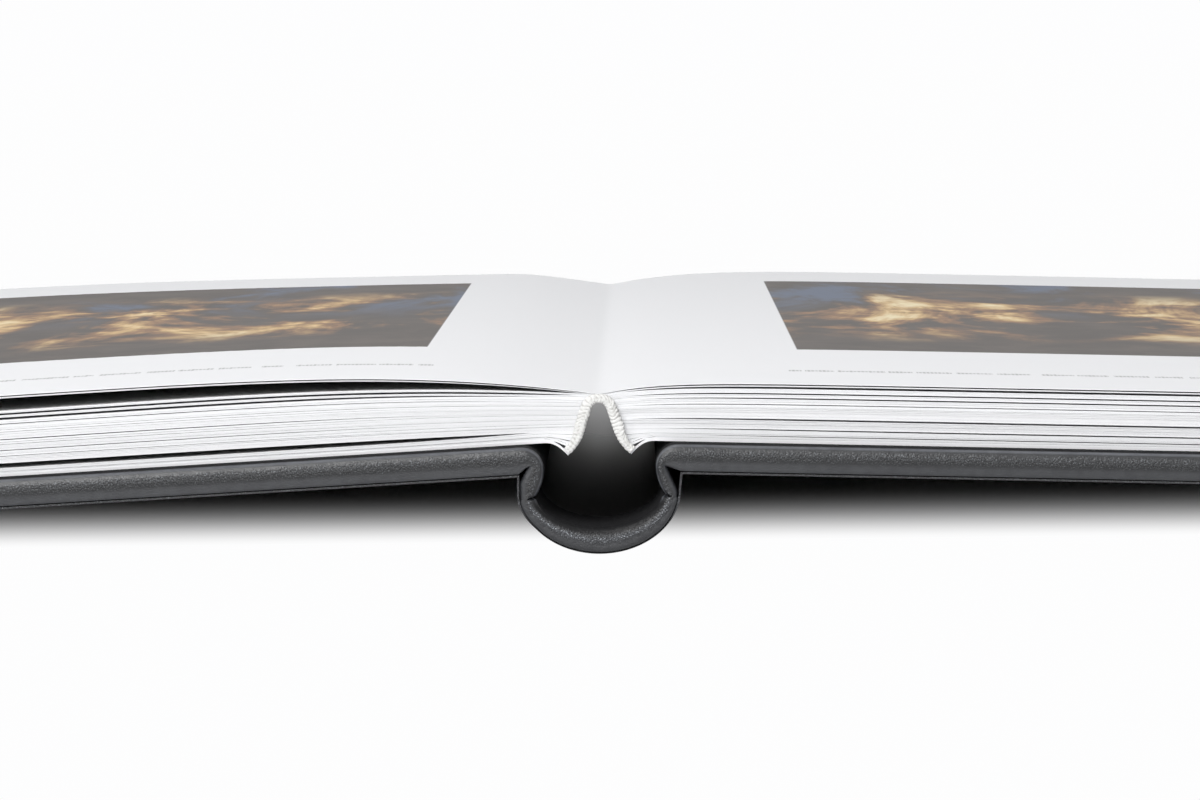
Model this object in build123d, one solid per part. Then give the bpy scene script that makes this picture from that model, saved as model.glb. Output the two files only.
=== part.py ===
from build123d import *
import os
from math import asin, cos, degrees, exp, radians, sin, sqrt

# Hardcover album lying open at its middle pages, on the edges of its covers.
# X runs across both pages, Y along the spine from tail to head, Z up.
# The origin is on the table, under the middle of the spine.

# Covers, in millimetres: a board in a skin of imitation leather
cover_length = 300.0
cover_reach = 300.0
board_thickness = 3.5
leather_thickness = 0.6
turn_in = 16.0
mitre_seam = 0.2
mitre_seam_depth = 0.25
cover_edge_round = 1.7
cover_corner_round = 3.0
square = 4.0
lip_height = 0.45
lip_crease = 0.15
lip_crease_depth = 0.3

# Endpapers: a pasted-down half and a free half, folded at the foot of the leaves
endpaper_thickness = 0.22

# Case spine: a trough with a stiff strip inside the leather
spine_half_width = 12.5
spine_trough_depth = 10.0
spine_strip_middle = 2.9
spine_strip_side = 1.6
spine_strip_gap_to_rim = 1.6
spine_end_depth = 3.0
spine_end_round = 1.3

# Joint: the rolled leather between the trough and a board, and the skin outside it
hinge_rise = 2.2
hinge_flare = 0.3
roll_inset = 3.85
roll_thickness = 1.65
roll_waist_rise = 3.3
roll_flat = 0.6
roll_end_round = 0.7
groove_apex_rise = 3.4

# Leaves, and how they dip at the gutter
right_leaves = 8.9
gutter_dip = 2.1
gutter_run = 7.8
fold_depth = 1.45
leaf_foot_drop = 2.1
leaf_foot_rise = 45.0
foot_knee_x = 8.6
fore_edge_slant = 5.0

# The left leaves lie looser, so they rise in a fan and settle again towards the fore-edge
fan_rise = 3.6
fan_start = 5.0
fan_run = 28.0
fan_power = 1.5
fan_settle = 0.75

# Gaps between groups of leaves: height share, where one starts, its full width, how soon it opens
right_gaps = [(0.195, 9.0, 0.12, 12.0), (0.385, 5.0, 0.16, 10.0), (0.765, 6.0, 0.12, 10.0)]
right_gaps += [(0.945, 3.0, 0.2, 8.0)]
left_gaps = [(0.158, 10.5, 0.6, 14.0), (0.36, 24.0, 0.1, 20.0), (0.528, 24.0, 0.12, 20.0)]
left_gaps += [(0.765, 12.0, 0.1, 20.0), (0.859, 8.0, 0.3, 25.0), (0.925, 3.0, 0.25, 6.0)]
left_gaps += [(0.96, 2.0, 2.2, 32.0)]
gap_settle = 0.5

# A curve of leaves is set out in short straight runs: their number, how they crowd to the gutter
curve_steps = 12
curve_crowding = 2.2

# Headband and tailband: beaded strips over the ends of the leaves at their back
band_thickness = 1.6
band_overhang = 1.5
band_bevel = 0.4

# Back of the leaves: a round apex under the gutter, then flanks that flare to the feet
apex_round = 1.1
flank_lean = 18.0
foot_round = 7.2
foot_lean = 52.0

# Lining glued on the back of the leaves
lining_thickness = 0.3
lining_margin = 3.0

# Levels and places that follow from the sizes
half_length = cover_length / 2
leaf_half_length = half_length - square
cover_thickness = board_thickness + 2 * leather_thickness
paste_level = cover_thickness + endpaper_thickness
leaf_level = paste_level + endpaper_thickness
hinge_x = spine_half_width + hinge_flare
hinge_z = spine_trough_depth + hinge_rise
droop = asin(hinge_z / cover_reach)
strip_rim_z = spine_trough_depth - spine_strip_gap_to_rim
wall_middle = 2 * leather_thickness + spine_strip_middle
wall_side = 2 * leather_thickness + spine_strip_side
leaf_reach = cover_reach - square
along_cover = (cos(droop), -sin(droop))


def cover_point(along, height):
    """A point of the right cover's section, measured from its hinge corner, as (x, z)."""
    x = hinge_x + along * cos(droop) + height * sin(droop)
    z = hinge_z - along * sin(droop) + height * cos(droop)
    return (x, z)


def level_at(x, height):
    """The z, at distance x from the gutter, of a plane parallel to the cover."""
    return hinge_z + height / cos(droop) - (x - hinge_x) * sin(droop) / cos(droop)


def stack_height(x, loose):
    """Height of the leaves over the endpaper at x; the loose stack rises in a fan."""
    height = right_leaves - gutter_dip * exp(-x / gutter_run)
    if loose and x > fan_start:
        share = (x - fan_start) / leaf_reach
        rise = 1 - exp(-(((x - fan_start) / fan_run) ** fan_power))
        height += fan_rise * rise * (1 - fan_settle * share**2)
    return height


def leaf_z(x, share, loose):
    """The z at x of the leaf that lies at a share of the stack's height."""
    return level_at(x, leaf_level) + share * stack_height(x, loose)


gutter_z = leaf_z(0, 1, False)
back_apex_z = gutter_z - fold_depth
foot_z = level_at(hinge_x, leaf_level) - leaf_foot_drop


def along_spine(section, start, end):
    """Extrude a section drawn as (x, z) between two places along the spine."""
    plane = Plane(origin=(0, end, 0), x_dir=(1, 0, 0), z_dir=(0, -1, 0))
    return extrude(plane * section, amount=end - start)


def outline(*edges):
    """The face inside a closed run of edges."""
    return make_face(Curve() + list(edges))


def left_of(section):
    """The mirror image of a right-hand section or piece."""
    return mirror(section, about=Plane.YZ)


def at_both_ends(piece):
    """A piece and its mirror image at the other end of the spine."""
    return piece + mirror(piece, about=Plane.XZ)


def trough(inset_side, inset_bottom, top):
    """The lower half of an ellipse inside the spine's outer face, cut off at a height."""
    ellipse = Pos(0, spine_trough_depth) * Ellipse(
        spine_half_width - inset_side, spine_trough_depth - inset_bottom
    )
    width = 2 * spine_half_width
    return ellipse & Pos(0, top - width / 2) * Rectangle(width, width)


def skin_inside(inset):
    """The region inside the outer skin's trough and flanks, less an inset."""
    low = spine_half_width - inset
    high = cover_point(0, inset)[0] - inset
    top = hinge_z + inset / cos(droop)
    flanks = Polyline(
        (-low, spine_trough_depth), (low, spine_trough_depth), (high, top), (-high, top), close=True
    )
    return trough(inset, inset, spine_trough_depth) + make_face(flanks)


def outer_skin():
    """The single layer of leather outside the trough and the joints, from hinge to hinge."""
    hinge_side = [
        (0, spine_trough_depth),
        (spine_half_width, spine_trough_depth),
        (hinge_x, hinge_z),
        cover_point(0, leather_thickness),
        (0, cover_point(0, leather_thickness)[1]),
    ]
    flank = make_face(Polyline(*hinge_side, close=True))
    outside = trough(0, 0, spine_trough_depth) + flank + left_of(flank)
    hollow = Pos(0, hinge_z + leather_thickness) * Rectangle(
        2 * (hinge_x - leather_thickness), 2 * leather_thickness
    )
    return outside - skin_inside(leather_thickness) - hollow


def joint_roll():
    """The right joint's rolled leather: up from the trough's rim, then out to the board."""
    depth_share = spine_strip_gap_to_rim / (spine_trough_depth - wall_middle)
    rim_in = ((spine_half_width - wall_side) * sqrt(1 - depth_share**2), strip_rim_z)
    rim_out = (spine_half_width - leather_thickness / 2, strip_rim_z)
    waist = (spine_half_width - roll_inset, spine_trough_depth + roll_waist_rise)
    top = cover_point(0, cover_thickness)
    top_bend = cover_point(-roll_flat, cover_thickness)
    under = cover_point(0, leather_thickness / 2)
    groove_apex = (waist[0] + roll_thickness, spine_trough_depth + groove_apex_rise)
    shoulder = TangentArc(top_bend, waist, tangent=(-along_cover[0], -along_cover[1]))
    inner = TangentArc(waist, rim_in, tangent=shoulder % 1)
    groove = Polyline(rim_in, rim_out, groove_apex, under, top, top_bend)
    return outline(shoulder, inner, groove)


def spine_strip():
    """The stiff strip inside the spine leather, thinner towards its two long edges."""
    outside = trough(leather_thickness, leather_thickness, strip_rim_z)
    inside = trough(wall_side - leather_thickness, wall_middle - leather_thickness, spine_trough_depth)
    reach = half_length - leather_thickness
    return along_spine(outside - inside, -reach, reach)


def trough_end():
    """The trough's padded end, where the leather turns in round the strip."""
    ring = trough(0, 0, strip_rim_z) - trough(wall_side, wall_middle, spine_trough_depth)
    end = along_spine(ring, half_length - spine_end_depth, half_length)
    rim = end.faces().sort_by(Axis.Y)[-1].edges().sort_by(SortBy.LENGTH)[-2:]
    return fillet(rim, spine_end_round)


def joint_end():
    """The end of the right joint's roll, rounded where the leather turns in."""
    end = along_spine(joint_roll(), half_length - spine_end_depth, half_length)
    rim = end.faces().sort_by(Axis.Y)[-1].edges()
    rounded = rim.filter_by(GeomType.CIRCLE) + rim.sort_by(SortBy.LENGTH)[:1]
    return fillet(rounded, roll_end_round)


def spine_leather():
    """The leather of the spine: outer skin, rolled joints and, at each end, the turned-in end."""
    skin = outer_skin()
    body_half = half_length - spine_end_depth
    body = along_spine(skin + joint_roll() + left_of(joint_roll()), -body_half, body_half)
    hollow = trough(wall_side, wall_middle, spine_trough_depth)
    flap_ring = trough(wall_side - leather_thickness, wall_middle - leather_thickness, strip_rim_z)
    flap = along_spine(flap_ring - hollow, half_length - turn_in, half_length - spine_end_depth)
    flank = skin - trough(0, 0, strip_rim_z)
    end = trough_end() + along_spine(flank, body_half, half_length)
    end += joint_end() + left_of(joint_end())
    return body + at_both_ends(flap + end) - spine_strip()


def covered_block(inset):
    """The covered board's rounded outer shape, less an inset: X from the hinge, Y along the spine."""
    reach = cover_reach - 2 * inset
    height = cover_thickness - 2 * inset
    block = Pos(cover_reach / 2, 0, cover_thickness / 2) * Box(
        reach, cover_length - 2 * inset, height
    )
    corners = block.edges().filter_by(Axis.Z).group_by(Axis.X)[-1]
    block = fillet(corners, cover_corner_round - inset)
    rim = block.edges().group_by(Axis.Z)[-1].sort_by(Axis.X)[1:]
    return fillet(rim, cover_edge_round - inset)


def board():
    """The board, rebated along three edges so that the turned-in leather lies level with it."""
    field_reach = cover_reach - turn_in - leather_thickness
    field = Pos(
        leather_thickness + field_reach / 2, 0, cover_thickness - leather_thickness / 2
    ) * Box(field_reach, cover_length - 2 * turn_in, leather_thickness)
    return covered_block(leather_thickness) + field


def cover_leather():
    """The leather round one board, with a crease that leaves a thin lip along its lower edges."""
    crease_z = lip_height + lip_crease / 2
    slab = Pos(cover_reach / 2, 0, crease_z) * Box(
        2 * cover_reach, 2 * cover_length, lip_crease
    )
    core_reach = cover_reach - lip_crease_depth
    core = Pos(0, 0, crease_z) * Box(
        2 * core_reach, cover_length - 2 * lip_crease_depth, lip_crease
    )
    return covered_block(0) - board() - (slab - core) - at_both_ends(mitre())


def mitre():
    """The seam across the turned-in leather at the cover's head corner."""
    seam = Pos(cover_reach - turn_in / 2, half_length - turn_in / 2, cover_thickness) * Rot(0, 0, 45)
    return seam * Box(2 * turn_in, mitre_seam, 2 * mitre_seam_depth)


def pastedown():
    """The pasted half of the endpaper, a square inside the cover's edges."""
    return Pos(leaf_reach / 2, 0, cover_thickness + endpaper_thickness / 2) * Box(
        leaf_reach, 2 * leaf_half_length, endpaper_thickness
    )


def on_hinge(piece):
    """Carry a piece from the right cover's own frame to its place in the book."""
    return Pos(hinge_x, 0, hinge_z) * Rot(0, degrees(droop), 0) * piece


def back_line(offset):
    """The right half of the back of the leaves, apex to foot, offset towards the pages."""
    lean, end_lean = radians(flank_lean), radians(foot_lean)
    apex_radius = apex_round + offset
    foot_radius = foot_round - offset
    arc_drop = apex_round * (1 - sin(lean)) + foot_round * (sin(end_lean) - sin(lean))
    run = (back_apex_z - foot_z - arc_drop) / cos(lean)
    apex = Pos(0, back_apex_z - apex_round) * CenterArc((0, 0), apex_radius, 90, flank_lean - 90)
    flank_end = apex @ 1 + Vector(run * sin(lean), -run * cos(lean))
    turn = Vector(cos(lean) - cos(end_lean), sin(lean) - sin(end_lean))
    foot = flank_end + turn * foot_radius
    return [
        apex,
        Line(apex @ 1, flank_end),
        TangentArc(flank_end, foot, tangent=(sin(lean), -cos(lean))),
    ]


def foot_line(level, lowered):
    """The curve of a leaf from the foot of the back out to where it lies along the cover."""
    foot = back_line(lining_thickness)[-1] @ 1
    rise = radians(leaf_foot_rise)
    start = (foot.X, foot.Y - lowered)
    knee = (foot_knee_x, level_at(foot_knee_x, level))
    return Spline(start, knee, tangents=[(cos(rise), sin(rise)), along_cover])


def free_endpaper():
    """The free half of the right endpaper, with the fold and strip that carry it over the joint."""
    upper = foot_line(leaf_level, 0)
    lower = foot_line(cover_thickness, 2 * endpaper_thickness)
    tip_top = cover_point(leaf_reach, leaf_level)
    tip_low = cover_point(leaf_reach, paste_level)
    step = cover_point(0, paste_level)
    step_low = cover_point(0, cover_thickness)
    edge = Polyline(upper @ 1, tip_top, tip_low, step, step_low, lower @ 1)
    section = outline(upper, edge, lower, Line(upper @ 0, lower @ 0))
    return along_spine(section, -leaf_half_length, leaf_half_length)


def stack_stations(start, end):
    """Places out from the gutter, closer together near it, at which a leaf's curve is set out."""
    shares = [(step / curve_steps) ** curve_crowding for step in range(curve_steps + 1)]
    return [start + (end - start) * share for share in shares]


def stack_section(loose):
    """The section of one half of the leaves, before its gaps are opened."""
    tip = cover_point(leaf_reach, leaf_level)
    top_tip_x = tip[0] - fore_edge_slant
    top_points = [(x, leaf_z(x, 1, loose)) for x in stack_stations(0, top_tip_x)]
    foot = foot_line(leaf_level, 0)
    back = back_line(lining_thickness)
    return outline(
        Polyline(*top_points, tip, foot @ 1),
        foot,
        *back,
        Line(back[0] @ 0, (0, gutter_z)),
    )


def opening_at(x, gap):
    """How wide the gap under a group of leaves is at x."""
    share, start, width, run = gap
    if x <= start:
        return 0
    opening = width * (1 - exp(-(x - start) / run))
    return opening * (1 - gap_settle * ((x - start) / (cover_reach + hinge_x)) ** 2)


def line_z(x, share, crown, loose):
    """The z at x of the underside of a group; below the highest gap it sinks as that one opens."""
    sunk = opening_at(x, crown) * share / crown[0] if share < crown[0] else 0
    return leaf_z(x, share, loose) - sunk


def gap_section(gap, crown, loose):
    """The open space under a group of leaves, from its tip out past the fore-edge."""
    upper, lower = [], []
    for x in stack_stations(gap[1], cover_reach + hinge_x):
        top = line_z(x, gap[0], crown, loose)
        upper.append((x, top))
        lower.append((x, top - opening_at(x, gap)))
    return outline(Polyline(*upper, *lower[::-1]))


def leaves_half(gaps, loose):
    """One half of the leaves, as if on the right, with its gaps from the lowest to the highest."""
    section = stack_section(loose)
    for gap in gaps:
        section -= gap_section(gap, gaps[-1], loose)
    return section


def text_block():
    """All the leaves as one piece: a tight stack to the right, a fanned one to the left."""
    section = leaves_half(right_gaps, False) + left_of(leaves_half(left_gaps, True))
    return along_spine(section, -leaf_half_length, leaf_half_length)


def back_strip(inner, outer):
    """The section of a strip that follows the back of the leaves between two offsets."""
    near, far = back_line(inner), back_line(outer)
    ends = Line(near[-1] @ 1, far[-1] @ 1), Line(near[0] @ 0, far[0] @ 0)
    half = outline(*near, *far, *ends)
    return half + left_of(half)


def end_band():
    """The beaded band at one end of the leaves, over the edge of their back."""
    start = leaf_half_length
    band = along_spine(back_strip(0, band_thickness), start, start + band_overhang)
    rim = band.faces().sort_by(Axis.Y)[-1].edges()
    return chamfer(rim, band_bevel)


def back_lining():
    """The cloth lining glued along the back of the leaves, inside the hollow."""
    reach = leaf_half_length - lining_margin
    return along_spine(back_strip(0, lining_thickness), -reach, reach)


def save(piece, node):
    """Write one node."""
    export_step(piece, f"parts/{node}.step")


def main():
    """Make every piece and write it under its own name."""
    os.makedirs("parts", exist_ok=True)
    save(text_block(), "text_block")
    save(back_lining(), "back_lining")
    save(end_band(), "headband")
    save(mirror(end_band(), about=Plane.XZ), "tailband")
    save(spine_leather(), "spine_leather")
    save(spine_strip(), "spine_strip")
    cover = {
        "board": on_hinge(board()),
        "cover_leather": on_hinge(cover_leather()),
        "pastedown": on_hinge(pastedown()),
        "free_endpaper": free_endpaper(),
    }
    for name, piece in cover.items():
        save(piece, f"right_{name}")
        save(left_of(piece), f"left_{name}")


main()
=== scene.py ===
import bmesh
import bpy
import random
from math import asin, atan2, cos, exp, hypot, pi, radians, sin, sqrt
from mathutils import Matrix, Vector


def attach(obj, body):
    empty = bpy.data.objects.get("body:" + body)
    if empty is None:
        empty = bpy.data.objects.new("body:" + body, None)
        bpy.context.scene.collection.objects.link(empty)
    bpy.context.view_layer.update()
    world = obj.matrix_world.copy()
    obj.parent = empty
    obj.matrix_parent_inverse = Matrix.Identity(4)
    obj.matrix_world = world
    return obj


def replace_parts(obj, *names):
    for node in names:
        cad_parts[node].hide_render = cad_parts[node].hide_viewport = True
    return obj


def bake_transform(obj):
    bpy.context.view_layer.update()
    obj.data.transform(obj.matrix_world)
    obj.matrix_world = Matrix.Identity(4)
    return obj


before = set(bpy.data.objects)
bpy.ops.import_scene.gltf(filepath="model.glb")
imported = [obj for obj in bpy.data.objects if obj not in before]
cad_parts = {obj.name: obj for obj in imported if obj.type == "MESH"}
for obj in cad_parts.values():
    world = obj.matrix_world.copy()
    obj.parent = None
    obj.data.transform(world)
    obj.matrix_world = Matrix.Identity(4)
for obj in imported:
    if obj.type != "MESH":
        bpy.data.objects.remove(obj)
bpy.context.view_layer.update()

# Sizes in millimetres, as in the part's source
cover_length = 300.0
cover_reach = 300.0
cover_thickness = 4.7
turn_in = 16.0
cover_edge_round = 1.7
cover_corner_round = 3.0
endpaper_thickness = 0.22
square = 4.0
spine_half_width = 12.5
spine_trough_depth = 10.0
wall_middle = 4.1
wall_side = 2.8
roll_inset = 3.85
roll_thickness = 1.65
roll_waist_rise = 3.3
roll_flat = 0.6
groove_apex_rise = 3.4
hinge_x = 12.8
hinge_z = 12.2
right_leaves = 8.9
gutter_dip = 2.1
gutter_run = 7.8
fold_depth = 1.45
leaf_foot_drop = 2.1
leaf_foot_rise = 45.0
foot_knee_x = 8.6
fore_edge_slant = 5.0
fan_rise = 3.6
fan_start = 5.0
fan_run = 28.0
fan_power = 1.5
fan_settle = 0.75
right_gaps = [(0.195, 9.0, 0.12, 12.0), (0.385, 5.0, 0.16, 10.0), (0.765, 6.0, 0.12, 10.0)]
right_gaps += [(0.945, 3.0, 0.2, 8.0)]
left_gaps = [(0.158, 10.5, 0.6, 14.0), (0.36, 24.0, 0.1, 20.0), (0.528, 24.0, 0.12, 20.0)]
left_gaps += [(0.765, 12.0, 0.1, 20.0), (0.859, 8.0, 0.3, 25.0), (0.925, 3.0, 0.25, 6.0)]
left_gaps += [(0.96, 2.0, 2.2, 32.0)]
gap_settle = 0.5
apex_round = 1.1
flank_lean = 18.0
foot_round = 7.2
foot_lean = 52.0
lining_thickness = 0.3
band_thickness = 1.6
band_overhang = 1.5

droop = asin(hinge_z / cover_reach)
leaf_level = cover_thickness + 2 * endpaper_thickness
leaf_reach = cover_reach - square
leaf_half_length = cover_length / 2 - square

# Leaves: how thick one is, how much air lies between them, how unevenly they are trimmed
leaf_thickness = 0.15
tight_air = 0.045
loose_air = 0.06
right_slits = [(0.075, 13.0, 0.08, 12.0), (0.65, 4.0, 0.07, 6.0), (0.85, 4.0, 0.12, 6.0)]
left_slits = [(0.27, 30.0, 0.07, 20.0), (0.45, 30.0, 0.05, 20.0), (0.64, 20.0, 0.05, 20.0)]
trim_spread = 0.1
leaf_stations = 44
leaf_crowding = 1.7
gutter_soft = 0.9

# The air in a group: least share of a leaf, lengths of its short and long waves, how much the long
# ones sway, and where along the leaf the group is counted
air_power = 3
least_air = 0.08
short_waves = (14, 60)
long_waves = (90, 220)
wave_turns = (0, 6)
long_sway = 0.4
counted_at = 0.4

# The open spread: its thickness, the room left under it, and how finely it is set out
spread_thickness = 0.12
spread_sheet = 0.1
spread_air = (0.18, 0.16)
spread_run = 5.0
spread_stations = 60
spread_crowding = 1.8

# Gaps show wider than in the solid, unless they are wide already; the leaf face over a shown gap
# keeps plain paper, without the painted shade of faces in tight gaps
line_spread = (1.8, 1.3)
wide_gap = 1.0
shown_gap = 0.15

# How much higher the leaves lie at the head than at the tail: at the gutter, over the crest and
# outwards, but never past a limit
head_lift = 0.35
crest_lift = (0.8, 18.0)
right_crest_lift = (1.6, 22.0)
right_lift_loss = 0.4
outer_lift = (1.75, 26.0, 274.0)
head_limit = 27.82
limit_power = 4

# How the lowest leaves sink to the foot of the back
foot_crowding = 16
foot_slack = 0.6

# Covering: the thin outer skin, the crease above it and the rounding of the padded ends
skin_thickness = 0.3
trough_skin = 0.1
skin_crease = 0.1
skin_edge = 0.25
skin_share = 0.42
skin_stations = (0.0, 0.2, 0.6, 1.3, 2.2, 3.0, 20.0, 80.0, 150.0, 220.0, 280.0, 294.0, 298.5)
trough_steps = 30
pad_floor = 0.43
pad_edge_round = 0.12
pad_stations = (0.0, 0.12, 0.35, 0.7, 1.15, 1.7, 2.3, 3.0, 12.0, 60.0, 150.0, 240.0, 290.0, 296.0)
pad_steps = 56
trough_inner_round = 1.6
trough_outer_round = 0.55

# Points over an end's lower rounding, its flat and its upper rounding, and the part of its height
# that a rounding may take
low_steps, flat_steps, high_steps = 3, 8, 8
most_round = 0.45
roll_low_round = 0.4
trough_outer_part, trough_inner_part = 0.42, 0.5

# The outer skin: how it passes from the cover to the hinge, thins over the trough's first steps and
# stands back under the padded end, where its end is painted near black as shade
skin_joint = (0.5, 0.45)
skin_corner_parts = (0.2, 0.4, 0.6, 0.8)
skin_thins_from, skin_thins_over = 3, 9
skin_back = 0.4
edge_shade_share = 2

# The roll beside the trough: where its groove starts, where it meets the skin, and its foot
groove_start = -0.25
groove_touch = (12.05, 9.4)
left_groove_touch = (12.5, 11.2)
left_apex_shift = (0.8, 0.4)
touch_part = 0.7
roll_end_round = 0.75
roll_foot = (10.15, 8.95)
roll_foot_inset = 0.5
left_foot_inset = 0.02
pad_rim_in = 9.0
pad_rim_out = 8.5
joint_start = 4.0
joint_parts = (0.4, 0.75, 1.0)
groove_pace = 1.25
round_pace = 1.2
roll_extra_round = 0.2

# The fold between roll and trough runs over the inner part of the end only
fold_end = 0.5
fold_fade = 0.2
under_roll = 0.02
roll_end_drop = 0.5
trough_end_drop = 0.6
roll_drop_pace, roll_drop_step = 0.9, 0.35
roll_drop_lean = 0.5
trough_drop_pace = 30

# The left joint bulges
left_swell = 0.45
swell_low = 4.0
swell_past = 1

# Thread of the head and tail bands
stitch_pitch = 0.62
stitch_height = 0.17
steps_per_stitch = 10
points_around = 26
bead_square = 0.7
seam_place = 0.1
seam_width = 0.14
slack_inner = 0.55
slack_outer = 0.3
thread_round = 0.6
thread_slant = 0.8
thread_waver = 0.35
seam_waver = 0.25
seam_depth = 0.6
deepest_pit = 1.3
lining_side = -0.5

# How thick a band is at its middle and feet, and how much it swells over its flanks
band_least = 0.88
band_swell = 0.3
flank_reach = 1.15
flank_power = 0.8

# Print of the open pages: the picture's place and size, and the line of small type under it
picture_start, picture_shift, picture_wide = 30.0, 3.5, 230.0
picture_low, picture_high = -77.0, 112.0
caption_drop, left_caption_rise, caption_wide = 121.0, 4.0, 72.0
stem_pitch, word_pitch = 0.62, 6.3
print_soft = 0.15

# The lining cloth's threads
weave_pitch = 0.9

# The floor: its size in metres, and where the part that keeps the object's shadow ends and a
# painted white glow, seen only by the camera, fades that shadow
floor_reach = 12.0
shadow_sides = (300.0, 330.0)
shadow_lean, shadow_start, shadow_run, shadow_power = 0.085, 45.0, 90.0, 2.05

# The photograph's camera: its place in millimetres, its turns in degrees and its lens in pixels
eye_place = (7.35, -788.0, 78.1)
eye_turn, eye_down, eye_roll = 0.635, 4.85, 1.27
lens_pixels = 4147
photo_width = 1200
sensor_width = 36.0


def level_at(x, height):
    """The z, at distance x from the gutter, of a plane parallel to the cover."""
    return hinge_z + height / cos(droop) - (x - hinge_x) * sin(droop) / cos(droop)


def stack_height(x, loose):
    """Height of the leaves over the endpaper at x, softly rounded at the gutter."""
    height = right_leaves - gutter_dip * exp(-(hypot(x, gutter_soft) - gutter_soft) / gutter_run)
    if loose and x > fan_start:
        share = (x - fan_start) / leaf_reach
        rise = 1 - exp(-(((x - fan_start) / fan_run) ** fan_power))
        height += fan_rise * rise * (1 - fan_settle * share**2)
    return height


def leaf_z(x, share, loose):
    """The z at x of the leaf that lies at a share of the stack's height."""
    return level_at(x, leaf_level) + share * stack_height(x, loose)


gutter_z = leaf_z(0, 1, False)
back_apex_z = gutter_z - fold_depth
foot_z = level_at(hinge_x, leaf_level) - leaf_foot_drop


def back_line(offset, steps):
    """Points down the right half of the back of the leaves, from its apex to its foot."""
    lean, end_lean = radians(flank_lean), radians(foot_lean)
    arc_drop = apex_round * (1 - sin(lean)) + foot_round * (sin(end_lean) - sin(lean))
    run = (back_apex_z - foot_z - arc_drop) / cos(lean)
    top = back_apex_z - apex_round
    points = []
    for step in range(steps + 1):
        turn = radians(90) - (radians(90) - lean) * step / steps
        reach = apex_round + offset
        points.append((reach * cos(turn), top + reach * sin(turn)))
    flank_x, flank_z = points[-1]
    for step in range(1, steps + 1):
        down = run * step / steps
        points.append((flank_x + down * sin(lean), flank_z - down * cos(lean)))
    foot_x, foot_start = points[-1]
    for step in range(1, steps + 1):
        turn = lean + (end_lean - lean) * step / steps
        reach = foot_round - offset
        x = foot_x + reach * (cos(lean) - cos(turn))
        points.append((x, foot_start - reach * (sin(turn) - sin(lean))))
    return points


leaf_back = back_line(lining_thickness, 24)
leaf_foot = leaf_back[-1]
tip_x = hinge_x + leaf_reach * cos(droop) + leaf_level * sin(droop)


def foot_drop(x):
    """How far the lowest leaf sinks under its level between the knee and the foot."""
    if x >= foot_knee_x:
        return 0.0
    span = foot_knee_x - leaf_foot[0]
    t = max(0.0, (x - leaf_foot[0]) / span)
    start, end = leaf_foot[1], level_at(foot_knee_x, leaf_level)
    rise = span * sin(radians(leaf_foot_rise)) / cos(radians(leaf_foot_rise))
    slope = -span * sin(droop) / cos(droop)
    z = (2 * t**3 - 3 * t**2 + 1) * start + (t**3 - 2 * t**2 + t) * rise
    z += (3 * t**2 - 2 * t**3) * end + (t**3 - t**2) * slope
    return level_at(x, leaf_level) - z


def opening_at(x, gap):
    """How wide the gap under a group of leaves is at x."""
    share, start, width, run = gap
    if x <= start:
        return 0.0
    opening = width * (1 - exp(-(x - start) / run))
    return opening * (1 - gap_settle * ((x - start) / (cover_reach + hinge_x)) ** 2)


def laid_z(x, share, loose):
    """The z of a leaf: it sinks as the highest gap opens, and the lowest reach to the foot."""
    crown = left_gaps[-1] if loose else right_gaps[-1]
    sunk = opening_at(x, crown) * share / crown[0] if share < crown[0] else 0.0
    return leaf_z(x, share, loose) - sunk - foot_slack * foot_drop(x) * (1 - share) ** foot_crowding


def head_z(x, z, loose):
    """The z at the head of a point that lies at z at the tail: the leaves billow a little there."""
    size, run = crest_lift if loose else right_crest_lift
    lift = head_lift + size * (1 - exp(-((x / run) ** 2)))
    if loose:
        size, start, end = outer_lift
        part = min(1.0, max(0.0, (x - start) / (end - start)))
        lift += size * (0.5 - 0.5 * cos(2 * pi * part))
    else:
        lift *= 1 - right_lift_loss * (x / leaf_reach) ** 2
    floor_z = level_at(x, leaf_level)
    share = max(0.0, z - floor_z) / stack_height(x, loose)
    room = max(0.001, head_limit - floor_z - stack_height(x, loose))
    return z + share * (lift**-limit_power + room**-limit_power) ** (-1 / limit_power)


def back_x(share, loose):
    """Where a leaf starts: on the back of the leaves, or at the gutter if it passes over it."""
    above = [laid_z(x, share, loose) - z for x, z in leaf_back]
    if above[0] >= 0:
        return 0.0
    for index in range(1, len(above)):
        if above[index] >= 0:
            near, far = above[index - 1], above[index]
            part = -near / (far - near)
            x0, x1 = leaf_back[index - 1][0], leaf_back[index][0]
            return x0 + part * (x1 - x0)
    return leaf_foot[0]


# Meshes


def put_mesh(name, points, faces, body, materials):
    """A piece made of points in millimetres, riding on a body."""
    mesh = bpy.data.meshes.new(name)
    mesh.from_pydata([Vector(p) / 1000 for p in points], [], faces)
    mesh.update()
    for material in materials:
        mesh.materials.append(material)
    mesh.shade_smooth()
    piece = bpy.data.objects.new(name, mesh)
    bpy.context.scene.collection.objects.link(piece)
    if body:
        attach(piece, body)
    return piece


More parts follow.
